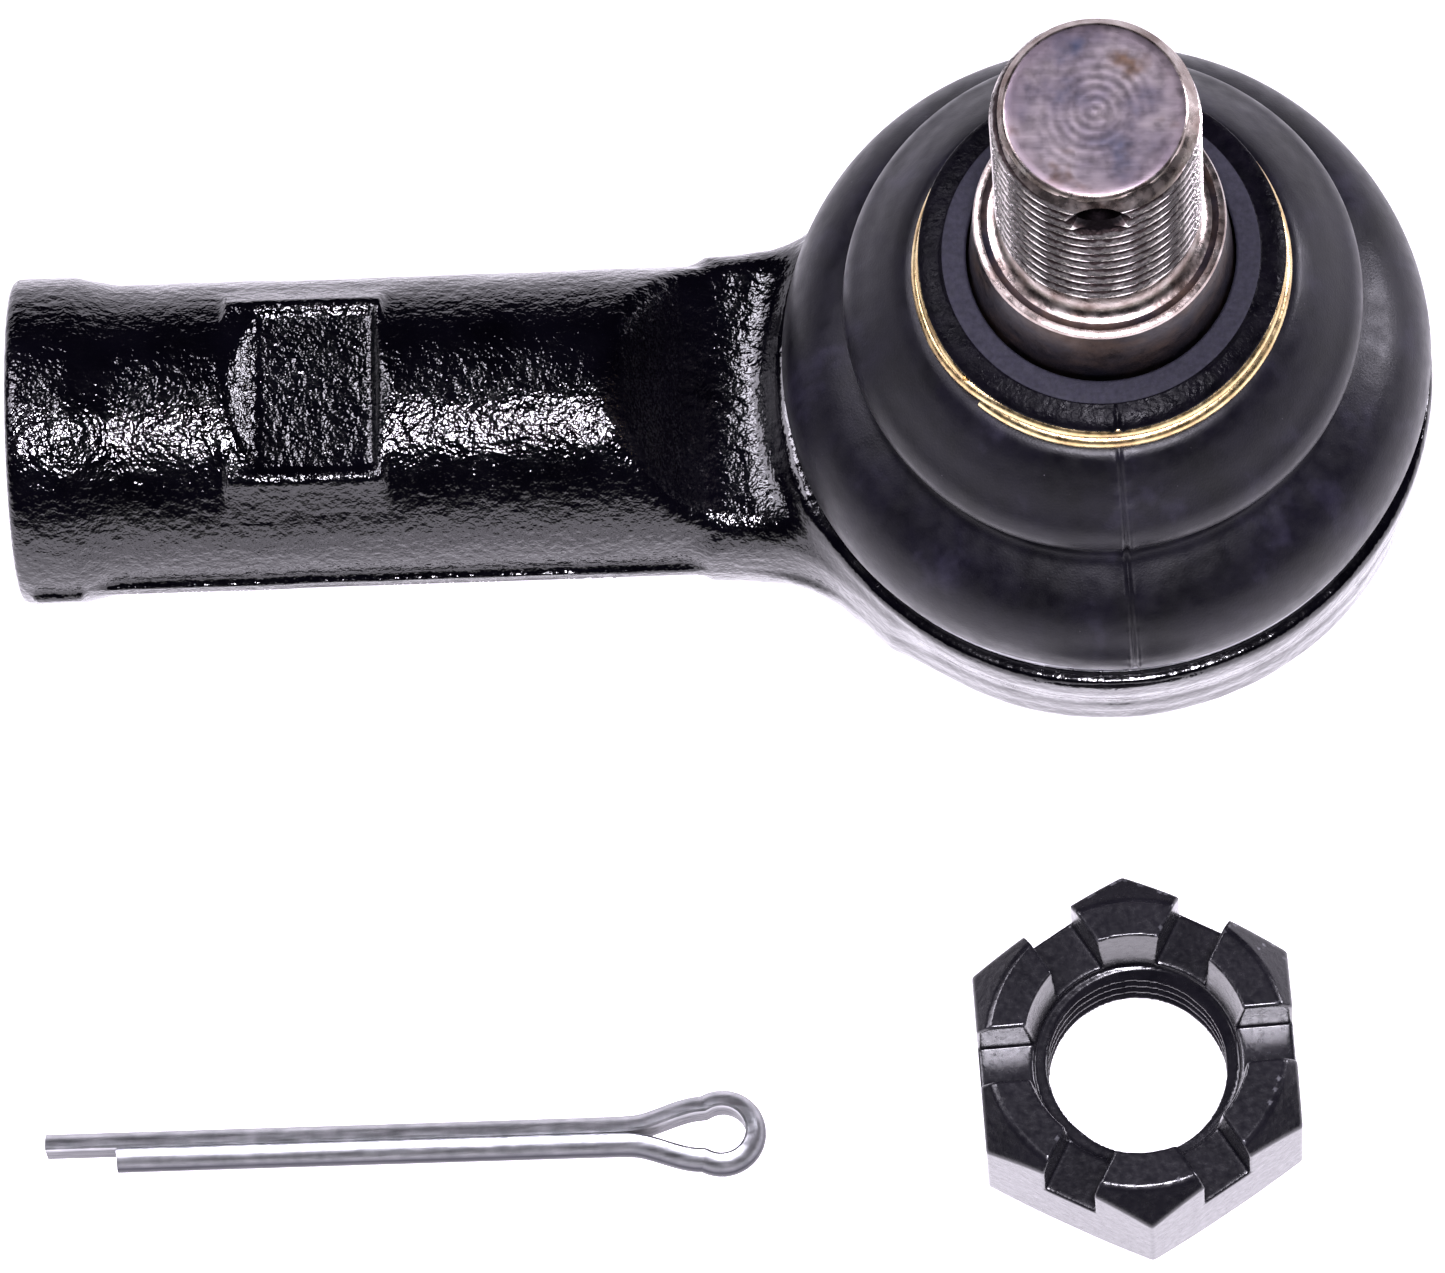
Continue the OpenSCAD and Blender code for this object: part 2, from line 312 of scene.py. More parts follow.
class Nodes:
    """Short names for building one material's node tree."""

    def __init__(self, name, roughness, metallic=0.0):
        self.material = bpy.data.materials.new(name)
        self.material.use_nodes = True
        self.tree = self.material.node_tree
        self.shader = self.tree.nodes["Principled BSDF"]
        self.shader.inputs["Roughness"].default_value = roughness
        self.shader.inputs["Metallic"].default_value = metallic
        self.place = self.add("ShaderNodeTexCoord").outputs["Object"]

    def add(self, kind, **settings):
        """A new node with these settings."""
        node = self.tree.nodes.new(kind)
        for key, value in settings.items():
            setattr(node, key, value)
        return node

    def link(self, a, b):
        """Joins output a to input b."""
        self.tree.links.new(a, b)

    def noise(self, size_mm, detail=2.0, roughness=0.5, vector=None):
        """Noise with blotches about size_mm wide."""
        node = self.add("ShaderNodeTexNoise")
        node.inputs["Scale"].default_value = 1 / (size_mm * MM)
        node.inputs["Detail"].default_value = detail
        node.inputs["Roughness"].default_value = roughness
        self.link(vector or self.place, node.inputs["Vector"])
        return node.outputs["Fac"]

    def ramp(self, value, stops):
        """Colour from a value, through (place, colour) stops."""
        node = self.add("ShaderNodeValToRGB")
        elements = node.color_ramp.elements
        while len(elements) < len(stops):
            elements.new(0.5)
        for element, (place, colour) in zip(elements, stops):
            element.position = place
            element.color = (*colour, 1)
        self.link(value, node.inputs["Fac"])
        return node.outputs["Color"]

    def math(self, operation, a, b=None, clamp=False):
        """One arithmetic step on sockets or numbers."""
        node = self.add("ShaderNodeMath", operation=operation, use_clamp=clamp)
        for socket, value in zip(node.inputs, (a, b)):
            if value is None:
                continue
            if isinstance(value, (int, float)):
                socket.default_value = value
            else:
                self.link(value, socket)
        return node.outputs[0]

    def span(self, value, low, high, to_low=0.0, to_high=1.0):
        """The value carried from low..high to to_low..to_high, and held at the ends."""
        node = self.add("ShaderNodeMapRange")
        ends = {"From Min": low, "From Max": high, "To Min": to_low, "To Max": to_high}
        for socket, number in ends.items():
            node.inputs[socket].default_value = number
        self.link(value, node.inputs["Value"])
        return node.outputs["Result"]

    def mix(self, share, a, b):
        """Colour a where share is 0 and b where it is 1."""
        node = self.add("ShaderNodeMix", data_type="RGBA")
        for socket, value in ((node.inputs[0], share), (node.inputs[6], a), (node.inputs[7], b)):
            if isinstance(value, tuple):
                socket.default_value = (*value, 1)
            elif isinstance(value, (int, float)):
                socket.default_value = value
            else:
                self.link(value, socket)
        return node.outputs[2]

    def bump(self, height, depth_mm, normal=None):
        """Normals of a relief depth_mm deep, laid over those given."""
        node = self.add("ShaderNodeBump")
        node.inputs["Distance"].default_value = depth_mm * MM
        node.inputs["Strength"].default_value = 1.0
        self.link(height, node.inputs["Height"])
        if normal:
            self.link(normal, node.inputs["Normal"])
        return node.outputs["Normal"]

    def height(self):
        """Height above the base plane, in metres."""
        part = self.add("ShaderNodeSeparateXYZ")
        self.link(self.place, part.inputs[0])
        return part.outputs[2]

    def stretched(self, scale, turn=0.0):
        """Object coordinates scaled along each axis, after a turn about Z."""
        node = self.add("ShaderNodeMapping")
        node.inputs["Scale"].default_value = scale
        node.inputs["Rotation"].default_value = (0, 0, turn)
        self.link(self.place, node.inputs["Vector"])
        return node.outputs[0]

    def radius(self, centre=(0, 0)):
        """Distance from the upright line through centre, in metres."""
        part = self.add("ShaderNodeSeparateXYZ")
        self.link(self.place, part.inputs[0])
        x = self.math("SUBTRACT", part.outputs[0], centre[0] * MM)
        y = self.math("SUBTRACT", part.outputs[1], centre[1] * MM)
        squares = self.math("ADD", self.math("MULTIPLY", x, x), self.math("MULTIPLY", y, y))
        return self.math("SQRT", squares)

    def finish(self, colour=None, roughness=None, normal=None, **values):
        """Links or sets the shader's sockets and gives back the material."""
        for socket, value in (("Base Color", colour), ("Roughness", roughness), ("Normal", normal)):
            if value is None:
                continue
            if isinstance(value, tuple):
                self.shader.inputs[socket].default_value = (*value, 1)
            else:
                self.link(value, self.shader.inputs[socket])
        for socket, value in values.items():
            self.shader.inputs[socket.replace("_", " ")].default_value = value
        return self.material


def black_paint():
    """Gloss black paint over the rough skin of a forging."""
    n = Nodes("black_paint", 0.2)
    off_the_cup = n.span(n.radius(), 22.5 * MM, 27 * MM, 0.3, 1.0)
    grit = n.bump(n.math("MULTIPLY", n.noise(0.28, 1.5, 0.6), off_the_cup), 0.055)
    peel = n.bump(n.math("MULTIPLY", n.noise(0.70), off_the_cup), 0.150, grit)
    waves = n.bump(n.noise(2.6), 0.12, peel)
    dark, light = (0.0004, 0.0003, 0.0009), (0.0012, 0.0010, 0.0022)
    colour = n.ramp(n.noise(6, 3), [(0.35, dark), (0.7, light)])
    rough = n.span(n.noise(1.6, 3), 0.3, 0.7, 0.08, 0.17)
    return n.finish(colour, rough, waves)


def boot_rubber():
    """Moulded rubber: fine grain, faint streaks of mould release and specks of dust."""
    n = Nodes("boot_rubber", 0.45)
    bloom = n.noise(5, 4, 0.6, n.stretched((1, 1, 0.35)))
    clean, dull, dusty = (0.0010, 0.0008, 0.0022), (0.0032, 0.0027, 0.0060), (0.0150, 0.0135, 0.0240)
    colour = n.ramp(bloom, [(0.38, clean), (0.58, dull), (0.75, dusty)])
    specks = n.span(n.noise(0.30, 1.0, 0.7), 0.79, 0.83)
    patches = n.span(n.noise(7, 1.0), 0.45, 0.7)
    colour = n.mix(n.math("MULTIPLY", specks, patches), colour, (0.12, 0.11, 0.13))
    rough = n.span(n.noise(1.2, 4), 0.3, 0.75, 0.32, 0.46)
    grain = n.bump(n.noise(0.16, 2), 0.010)
    waves = n.bump(n.noise(3, 2), 0.05, grain)
    return n.finish(colour, rough, waves, Specular_IOR_Level=0.25)


def greased_rubber():
    """The boot's neck between lip and ring, wet with old grease."""
    n = Nodes("greased_rubber", 0.3)
    colour = n.ramp(n.noise(1.5, 3), [(0.3, (0.0010, 0.0009, 0.0018)), (0.7, (0.003, 0.0025, 0.0045))])
    rough = n.span(n.noise(0.8, 3), 0.3, 0.7, 0.22, 0.5)
    return n.finish(colour, rough, n.bump(n.noise(0.5, 3), 0.10), Specular_IOR_Level=0.05)


def lip_rubber():
    """Top face of the boot's lip, fine and matte."""
    n = Nodes("lip_rubber", 0.75)
    colour = n.ramp(n.noise(0.3, 3), [(0.3, (0.008, 0.0075, 0.014)), (0.7, (0.016, 0.015, 0.026))])
    rough = n.span(n.noise(0.5, 2), 0.3, 0.7, 0.68, 0.82)
    return n.finish(colour, rough, n.bump(n.noise(0.15, 2), 0.02), Specular_IOR_Level=0.3)


def plated_wire():
    """Wire with yellow zinc plating, in blotches from brown to pale gold."""
    n = Nodes("yellow_plated_wire", 0.3, 1.0)
    colour = n.ramp(
        n.noise(1.8, 4, 0.6),
        [(0.25, (0.22, 0.14, 0.08)), (0.45, (0.62, 0.45, 0.22)), (0.75, (0.85, 0.70, 0.40))],
    )
    rough = n.span(n.noise(0.7, 3), 0.3, 0.7, 0.2, 0.4)
    return n.finish(colour, rough, n.bump(n.noise(0.35, 2), 0.02))


def stud_end():
    """End face of the stud: concentric turning marks and blue-brown heat tint."""
    n = Nodes("stud_end", 0.42, 1.0)
    r = n.radius()
    wobble = n.math("MULTIPLY", n.noise(3, 2), 0.00035)
    ring_place = n.math("MULTIPLY", n.math("ADD", r, wobble), 2 * math.pi / (0.72 * MM))
    centre = n.span(r, 5.2 * MM, 2.2 * MM, 0.08, 1.0)
    rings = n.math("MULTIPLY", n.math("SINE", ring_place), centre)
    rings = n.math("MULTIPLY", rings, n.span(n.noise(1.6, 2), 0.3, 0.7, 0.3, 1.0))
    colour = n.ramp(
        n.noise(4.0, 3, 0.55),
        [
            (0.30, (0.05, 0.055, 0.085)), (0.45, (0.14, 0.12, 0.14)),
            (0.6, (0.22, 0.19, 0.20)), (0.72, (0.11, 0.07, 0.05)),
        ],
    )
    rim = n.span(r, 4.6 * MM, 5.9 * MM)
    colour = n.mix(n.math("MULTIPLY", rim, 0.45), colour, (0.16, 0.12, 0.14))
    scratches = n.noise(0.4, 4, 0.6, n.stretched((0.15, 1.4, 1), 0.5))
    marks = n.bump(scratches, 0.008)
    turned = n.bump(rings, 0.009, marks)
    rough = n.span(n.noise(0.8, 4), 0.3, 0.7, 0.36, 0.52)
    return n.finish(colour, rough, turned)


def stud_thread():
    """Rolled thread, coloured by depth: painted shade darkens the roots and a painted highlight brightens the
    crests, broken up in patches.
    """
    n = Nodes("stud_thread", 0.3, 1.0)
    r = n.radius()
    # painted shade and painted highlight: the colour runs from near-black in the thread roots to bright on the
    # crests, by radius
    height = n.span(r, (THREAD_R - 0.75) * MM, (THREAD_R - 0.05) * MM)
    patchy = n.math("MULTIPLY", n.math("SUBTRACT", n.noise(0.5, 3), 0.5), 0.5)
    tone_mask = n.math("ADD", height, patchy, True)
    root_painted_shade, flank, crest = (0.008, 0.006, 0.007), (0.075, 0.055, 0.055), (0.80, 0.74, 0.72)
    colour = n.ramp(tone_mask, [(0.30, root_painted_shade), (0.68, flank), (0.90, crest)])
    rough = n.span(tone_mask, 0.2, 1.0, 0.5, 0.24)
    return n.finish(colour, rough, n.bump(n.noise(0.3, 3), 0.05))


def polished_steel():
    """Turned relief and edges of the stud."""
    n = Nodes("polished_steel", 0.25, 1.0)
    tinted, plain, bright = (0.20, 0.15, 0.13), (0.42, 0.36, 0.33), (0.60, 0.55, 0.52)
    colour = n.ramp(n.noise(1.5, 3), [(0.3, tinted), (0.55, plain), (0.75, bright)])
    rough = n.span(n.noise(0.8, 3), 0.3, 0.7, 0.2, 0.36)
    return n.finish(colour, rough, n.bump(n.noise(0.4, 3), 0.02))


def dark_steel():
    """Shoulder and taper of the stud, brown-black from hardening."""
    n = Nodes("dark_steel", 0.35, 1.0)
    colour = n.ramp(
        n.noise(3.5, 3, 0.6),
        [(0.3, (0.014, 0.013, 0.020)), (0.5, (0.030, 0.022, 0.022)), (0.72, (0.055, 0.035, 0.026))],
    )
    rough = n.span(n.noise(1, 3), 0.3, 0.7, 0.3, 0.5)
    return n.finish(colour, rough, n.bump(n.noise(0.25, 2), 0.01))


def ball_steel():
    """Ground and polished ball."""
    n = Nodes("ball_steel", 0.12, 1.0)
    colour = n.ramp(n.noise(4, 2), [(0.3, (0.50, 0.50, 0.52)), (0.7, (0.62, 0.62, 0.64))])
    return n.finish(colour, None, n.bump(n.noise(0.8, 2), 0.004))


def black_oxide():
    """Oiled black oxide on the machined nut, bare along its edges."""
    n = Nodes("black_oxide", 0.26)
    edges = n.add("ShaderNodeNewGeometry").outputs["Pointiness"]
    tone_mask = n.math("MULTIPLY", n.span(edges, 0.54, 0.62), n.span(n.noise(0.6, 3), 0.35, 0.65))
    colour = n.ramp(n.noise(3, 2), [(0.3, (0.003, 0.0028, 0.0045)), (0.7, (0.007, 0.0065, 0.009))])
    colour = n.mix(tone_mask, colour, (0.10, 0.10, 0.11))
    rough = n.span(n.noise(0.5, 3), 0.3, 0.7, 0.20, 0.29)
    dents = n.bump(n.noise(0.6, 3, 0.6), 0.022)
    return n.finish(colour, rough, dents, Specular_IOR_Level=0.5)


def zinc_wire():
    """Bright zinc plating with fine drawing lines, its sides darkened by painted shade."""
    n = Nodes("zinc_wire", 0.3, 1.0)
    lines = n.noise(0.35, 4, 0.6, n.stretched((0.12, 1, 1)))
    colour = n.ramp(n.noise(1.2, 3), [(0.3, (0.34, 0.35, 0.36)), (0.7, (0.56, 0.56, 0.58))])
    # painted shade: below 1.9 mm height the wire's sides fade to near-black, giving dark outlines
    above_painted_side_shade = n.span(n.height(), 1.9 * MM, 2.7 * MM)
    colour = n.mix(above_painted_side_shade, (0.035, 0.035, 0.042), colour)
    rough = n.span(lines, 0.3, 0.7, 0.30, 0.48)
    return n.finish(colour, rough, n.bump(lines, 0.02))


def seat_plastic():
    """Natural acetal of the bearing seats."""
    n = Nodes("seat_plastic", 0.4)
    colour = n.ramp(n.noise(3, 2), [(0.3, (0.72, 0.70, 0.62)), (0.7, (0.80, 0.78, 0.70))])
    return n.finish(colour, None, n.bump(n.noise(0.3, 2), 0.01))


def plain_steel(name, dark, light, roughness):
    """Steel sheet or spring stock with a slight mottle."""
    n = Nodes(name, roughness, 1.0)
    colour = n.ramp(n.noise(2, 3), [(0.3, dark), (0.7, light)])
    rough = n.span(n.noise(0.7, 3), 0.3, 0.7, roughness - 0.08, roughness + 0.1)
    return n.finish(colour, rough, n.bump(n.noise(0.4, 2), 0.02))


def painted_sheet():
    """Satin black on the pressed end cover."""
    n = Nodes("cover_steel", 0.4)
    colour = n.ramp(n.noise(3, 2), [(0.3, (0.012, 0.012, 0.014)), (0.7, (0.024, 0.024, 0.027))])
    return n.finish(colour, None, n.bump(n.noise(0.5, 2), 0.03))


def seal_rubber():
    """Matte black sealing ring."""
    n = Nodes("seal_rubber", 0.7)
    colour = n.ramp(n.noise(1, 2), [(0.3, (0.012, 0.012, 0.012)), (0.7, (0.022, 0.022, 0.022))])
    return n.finish(colour, None, n.bump(n.noise(0.2, 2), 0.01))


# ---------------------------------------------------------------- the forging


def flare_outline(cup_r, shank_r, flare_r, grow):
    """Plan of the neck between shank and cup: straight sides drawn out into the cup by arcs."""
    flare_y = shank_r + flare_r
    flare_x = -math.sqrt((cup_r + flare_r) ** 2 - flare_y**2)
    turn = math.asin(-flare_x / (cup_r + flare_r))
    arc = [
        (flare_x + (flare_r - grow) * math.sin(t), -flare_y + (flare_r - grow) * math.cos(t))
        for t in np.linspace(0, turn, 7)
    ]
    half = arc + [(-6, arc[-1][1])]
    return half + [(x, -y) for x, y in half[::-1]]


def build_housing(materials):
    """Forged socket and shank as one skin, with machined mouth, cover seat and bore."""
    h = 0.3
    margin = 1.2
    low, high = cad_box("housing")
    grid = Lattice([c - margin for c in low], [c + margin for c in high], h)
    x, y, z = grid.x, grid.y, grid.z
    r = np.sqrt(x * x + y * y) + 0 * z
    zz = z + 0 * r
    cup_r = 22.0
    shank_r = 10.8
    collar_r = 11.45
    end = SHANK_END

    cup = outline_distance(r, zz, [
        (0, 0.6), (16.4, 0.6), (18.2, 2.2), (cup_r - 0.5, 12.5), (cup_r - 0.5, BALL_Z + 1.4),
        (SHOULDER_R - 0.6, BALL_Z + 4.6), (SHOULDER_R - 0.6, BALL_Z + 6.4), (18.0, BALL_Z + 6.4),
        (18.0, BALL_Z + 8.2), (18.8, BALL_Z + 8.2), (18.8, RIM_Z - 0.6), (0, RIM_Z - 0.6),
    ]) - 0.6

    along = x + 0 * y + 0 * z
    out = np.sqrt(y * y + (z - BALL_Z) ** 2) + 0 * x
    shank = outline_distance(along, out, [
        (-8, 0), (-8, shank_r - 0.8), (end + 7.2, shank_r - 0.8), (end + 4.4, collar_r - 0.8),
        (end + 0.8, collar_r - 0.8), (end + 0.8, 0),
    ]) - 0.8

    def plan(grow):
        """Distance to the neck's plan, grown by this much."""
        return outline_distance(x + 0 * y, y + 0 * x, flare_outline(cup_r, shank_r, 18, grow)) + 0 * z

    off_plane = np.minimum(np.abs(z - BALL_Z), 10.2)
    shrink = (shank_r - np.sqrt(shank_r**2 - off_plane**2)) * 0.9
    flare_wall = plan(0) + shrink + 1.2
    low_z = 5.4
    high_z = WEB_Z - 0.14 * np.clip(-22.0 - x, 0, 6)
    slab = np.abs(z - (low_z + high_z) / 2) - (high_z - low_z) / 2 + 1.2
    neck = np.minimum(np.maximum(flare_wall, slab), 0) - 1.2
    neck = neck + np.sqrt(np.maximum(flare_wall, 0) ** 2 + np.maximum(slab, 0) ** 2)

    scoop = outline_distance(along, zz, [
        (-36.4, BALL_Z + 13), (-34.3, BALL_Z + shank_r), (-30.9, WEB_Z + 2.35), (-29.5, WEB_Z + 1.25),
        (-28.0, WEB_Z + 0.55), (-26.3, WEB_Z + 0.12), (-24.5, WEB_Z), (-10, WEB_Z), (-10, BALL_Z + 13),
    ])
    rod = smooth_cut(shank, scoop, 1.0)
    rod = smooth_union(rod, neck, 2.4)

    ridge_half, ridge_out = 0.6, 0.5
    strip = np.maximum(np.abs(y) - (shank_r + ridge_out), np.maximum(x + 14, (end + 3.2) - x)) + 0 * z
    on_collar = np.maximum(x - (end + 4.6), (end + 1) - x)
    collar_strip = np.maximum(np.abs(y) - (collar_r + ridge_out - 0.1), on_collar) + 0 * z
    ridge_plan = np.minimum(np.minimum(strip, collar_strip), plan(ridge_out))
    ridge_plan = np.minimum(ridge_plan, r - (cup_r + 0.08))
    ridge = np.maximum(ridge_plan, np.abs(z - BALL_Z) - ridge_half)
    ridge = np.maximum(ridge, cup_r - 6 - r)
    body = smooth_union(cup, rod, 3.4)
    body = smooth_union(body, ridge, 0.25)

    flat_z = mount("wrench_flat_top")["pos_m"][2] / MM - BALL_Z
    boss_x = np.maximum(-61.2 - x, x + 50.2) + 0 * y + 0 * z
    boss_yz = outline_distance(np.abs(y) + 0 * z, np.abs(z - BALL_Z) + 0 * y, [
        (0, 0), (7.9, 0), (7.8, flat_z - 2.0), (7.35, flat_z - 1.0), (6.85, flat_z - 0.05),
        (6.45, flat_z + 0.38), (6.05, flat_z + 0.42), (0, flat_z + 0.42),
    ])
    body = smooth_union(body, np.maximum(boss_x, boss_yz), 0.65)
    for side in (-1, 1):
        flat = outline_distance(along, (zz - BALL_Z) * side, [
            (-62.9, shank_r + 1.4), (-58.8, flat_z), (-51.0, flat_z), (-50.1, shank_r + 1.4),
        ])
        rim = np.abs(y) - 5.75 + 0 * x + 0 * z
        body = smooth_cut(body, np.maximum(flat, rim), 0.45)
        above = np.maximum(flat, (flat_z + 0.3) - (zz - BALL_Z) * side)
        body = smooth_cut(body, above, 0.3)

    socket = outline_distance(r, zz, [
        (0, -2), (14.6, -2), (14.6, 0.8), (16.15, 0.8), (16.15, 4.3), (15, 4.3), (15, BALL_Z),
        (14.75, BALL_Z + 2.7), (14.14, WEB_Z), (12.1, WEB_Z), (12.1, WEB_Z + 0.6), (14.9, RIM_Z),
        (15.6, RIM_Z + 2), (0, RIM_Z + 2),
    ])
    body = np.maximum(body, -socket)
    bore = outline_distance(along, out, [
        (end - 2, -1), (end - 2, 8.4), (end, 8.1), (end + 0.7, 7.5),
        (end + 42, 7.5), (end + 46, 0), (end + 46, -1),
    ])
    body = np.maximum(body, -bore)

    vertices, faces = mesh_from_distance(grid, body)
    piece = make_piece("forged_housing", vertices, faces, materials["black_paint"])
    normals = vertex_normals(piece)
    machined = (np.hypot(vertices[:, 0], vertices[:, 1]) < 16.4) | (vertices[:, 0] < end + 0.3)
    machined |= (vertices[:, 2] < 0.5) | (vertices[:, 2] > BALL_Z + 6.8) & (vertices[:, 0] > -25)
    lumps = 0.05 * value_noise(vertices, 5.0, 1) + 0.022 * value_noise(vertices, 1.7, 2)
    lumps += 0.012 * value_noise(vertices, 0.9, 3)
    offset = np.where(machined, 0, lumps - 0.05)[:, None] * normals
    moved = (vertices + offset) * MM
    piece.data.vertices.foreach_set("co", moved.astype(np.float32).ravel())
    piece.data.update()
    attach(piece, "housing")
    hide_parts("housing")


def helix_radius(crest, depth, pitch, phase=0.0):
    """Radius of a V thread with flat crests and rounded roots, as a function of height and angle."""

    def at(z, a):
        turn = np.mod(z / pitch - a / (2 * math.pi) + phase, 1.0)
        tooth = np.clip((0.5 - np.abs(turn - 0.5)) * 2 * 1.14 - 0.07, 0, 1)
        return crest - depth * (1 - tooth)

    return at


def build_shank_thread(materials):
    """Tapped wall of the bore in the shank."""
    length, wall = 42.0, 7.48
    step = 0.125
    places = np.arange(0.5, length, step)
    thread = helix_radius(TAP_R + 0.81, 0.81, THREAD_PITCH)
    angles = even_angles(96)
    rings = [(wall, places[-1]), (wall, places[0])]
    rings += [(TAP_R, p) for p in places]

    def radius(r, z, a):
        inner = r < wall - 0.1
        chamfer = TAP_R + np.maximum(0, 1.5 - z) * 0.8
        tapped = np.maximum(np.minimum(thread(z, a), 7.2), np.minimum(chamfer, 7.3))
        return np.where(inner, tapped, r + 0 * a)

    piece = revolve("shank_thread", rings, angles, radius, materials["thread_wall"])
    turn = Matrix.Rotation(math.radians(90), 4, "Y")
    piece.data.transform(turn)
    piece.data.transform(Matrix.Translation((SHANK_END * MM, 0, BALL_Z * MM)))
    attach(piece, "housing")


# ---------------------------------------------------------------- the ball stud


def build_stud(materials):
    """Ball, neck, taper, relief and thread turned as one piece, then drilled."""
    c = BALL_Z
    top = STUD_TOP
    ball_r, neck_r, flat = 12.5, 7.0, -9.5
    taper_top = c + 40.2
    section = [(0.0, c + flat)]
    start = math.acos(-flat / ball_r)
    end = math.pi - math.asin(neck_r / ball_r)
    ball_arc = np.linspace(start, end - 0.05, 26)
    section += [(ball_r * math.sin(t), c - ball_r * math.cos(t)) for t in ball_arc]
    section += [(neck_r, c + 11), (neck_r, c + 21), (8.9, c + 23), (9.4, c + 25), (9.4, c + 25.8)]
    relief = [(8.53, -0.35), (8.5, -0.22), (8.42, -0.1), (8.15, 0), (8.0, -0.02), (7.55, -0.02)]
    relief += [(7.2, 0.08), (6.85, 0.32), (6.55, 0.75), (6.35, 1.3), (6.3, 2.0)]
    section += [(r, taper_top + rise) for r, rise in relief]
    thread_low, thread_high = taper_top + 2.1, top - 0.05
    step = 0.1
    section += [(THREAD_R, z) for z in np.arange(thread_low, thread_high, step)]
    section += [(5.95, top - 0.04), (5.84, top)]
    section += [(r, top) for r in np.arange(5.4, 0.7, -0.45)]
    section += [(0.45, top), (0.3, top - 0.012), (0.15, top - 0.012), (0.0, top)]
    section = np.array(section)
    thread = helix_radius(THREAD_R, 0.88, THREAD_PITCH)
    on_thread = (section[:, 1] >= thread_low - 1e-6) & (section[:, 1] < thread_high)
    on_thread &= section[:, 0] == THREAD_R

    def radius(r, z, a):
        helical = thread(z, a)
        run_out = 6.3 + np.maximum(0, z - thread_low) * 1.0
        chamfer = 5.98 + (top - z) * 0.92
        value = np.minimum(np.minimum(helical, run_out), chamfer)
        value = np.maximum(value, 5.9)
        return np.where(on_thread[:, None], value, r + 0 * a)

    angles = even_angles(180)
    r, z, a = section[:, 0][:, None], section[:, 1][:, None], angles[None, :]
    rr = radius(r, z, a)
    vertices = np.stack([rr * np.cos(a), rr * np.sin(a), z + 0 * a], axis=-1)[1:-1].reshape(-1, 3)
    vertices = np.concatenate([vertices, [[0, 0, section[0, 1]], [0, 0, section[-1, 1]]]])
    faces = pointed_tube_faces(len(section) - 2, len(angles))
    piece = make_piece("ball_stud_turned", vertices, faces, materials["stud_thread"])

    hole = mount("cotter_hole")
    hole_z, hole_r = hole["pos_m"][2] / MM, hole["dims"]["r_mm"]
    drill = [(0, -9), (hole_r + 1.9, -9), (hole_r + 0.85, -6.9), (hole_r, -6.1)]
    drill += [(hole_r, 6.1), (hole_r + 0.85, 6.9), (hole_r + 1.9, 9), (0, 9)]
    cutter = drill_mesh(drill, 40)
    cutter.data.transform(Matrix.Rotation(math.radians(90), 4, "X"))
    cutter.data.transform(Matrix.Translation((0, 0, hole_z * MM)))
    boolean_cut(piece, cutter)

    slots = ["stud_thread", "stud_end", "polished_steel", "dark_steel", "ball_steel"]
    piece.data.materials.clear()
    for name in slots:
        piece.data.materials.append(materials[name])
    count = len(piece.data.polygons)
    centres = np.zeros(count * 3, np.float32)
    normals = np.zeros(count * 3, np.float32)
    piece.data.polygons.foreach_get("center", centres)
    piece.data.polygons.foreach_get("normal", normals)
    centres, normals = centres.reshape(-1, 3) / MM, normals.reshape(-1, 3)
    height = centres[:, 2]
    reach = np.hypot(centres[:, 0], centres[:, 1])
    index = np.zeros(count, np.int32)
    index[(height > top - 1.1) & (normals[:, 2] > 0.3)] = 2
    index[(height > top - 0.2) & (normals[:, 2] > 0.9) & (reach < 5.9)] = 1
    index[height < taper_top + 2.6] = 2
    index[(height < taper_top + 0.03) & (reach < 8.05) & (reach > 7.4)] = 3
    index[height < taper_top - 0.3] = 3
    index[height < c + 21] = 4
    piece.data.polygons.foreach_set("material_index", index)
    piece.data.polygons.foreach_set("use_smooth", [True] * count)
    sharp_by_angle(piece, 32)
    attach(piece, "stud")
    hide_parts("ball_stud")


def drill_mesh(section, count):
    """A solid of revolution about Z from an open (r, z) section that starts and ends on the axis."""
    inner = np.array(section[1:-1], float)
    angles = even_angles(count)
    vertices = [(r * math.cos(a), r * math.sin(a), z) for r, z in inner for a in angles]
    vertices += [(0, 0, section[0][1]), (0, 0, section[-1][1])]
    faces = pointed_tube_faces(len(inner), count)
    mesh = bpy.data.meshes.new("drill")
    mesh.from_pydata([(x * MM, y * MM, z * MM) for x, y, z in vertices], [], faces)
    cutter = bpy.data.objects.new("drill", mesh)
    bpy.context.scene.collection.objects.link(cutter)
    return cutter


def sharp_by_angle(piece, degrees):
    """Smooth shading with hard edges where two faces meet at more than this angle."""
    piece.data.set_sharp_from_angle(angle=math.radians(degrees))


# ---------------------------------------------------------------- the dust boot


def boot_angles(seam):
    """Directions round the boot, packed closely beside the two mould seams."""
    count = 240
    base = list(even_angles(count) + seam)
    extra = []
    for side in (0, math.pi):
        for step in (-2.2, -1.5, -1.0, -0.6, -0.3, 0.3, 0.6, 1.0, 1.5, 2.2):
            extra.append(seam + side + math.radians(step * 0.55))
    return np.array(sorted(a % (2 * math.pi) for a in base + extra))


